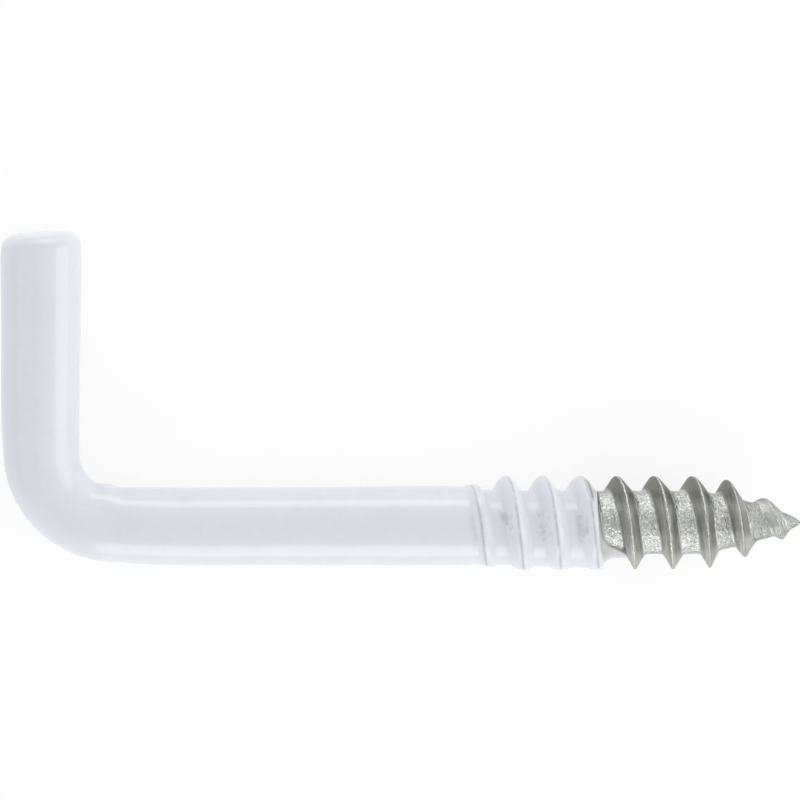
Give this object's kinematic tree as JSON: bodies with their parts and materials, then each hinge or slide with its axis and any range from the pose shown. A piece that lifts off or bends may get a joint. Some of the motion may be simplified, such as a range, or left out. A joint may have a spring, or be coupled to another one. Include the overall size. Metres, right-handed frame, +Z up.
{
  "type": "screw-in hinge pin",
  "caption": "L-shaped screw-in hinge pin of steel wire: an upright arm in white dipped plastic, a square bend and a straight shank ending in a bare zinc-plated wood thread with a gimlet point.",
  "frame": {"origin": "centre of the bounding box's footprint, on the surface that the pin lies on", "axes": "+X along the shank towards the point, +Y along the arm towards its free end, +Z up off the surface"},
  "size_m": [0.04, 0.0168, 0.0048],
  "materials": {
    "zinc_steel": "bright zinc plate over rolled steel, grainy along the thread",
    "white_plastic": "dipped soft vinyl, cool white, satin to glossy"
  },
  "bodies": {
    "root": {"steel_pin": "zinc_steel", "plastic_coating": "white_plastic"}
  },
  "joints": []
}
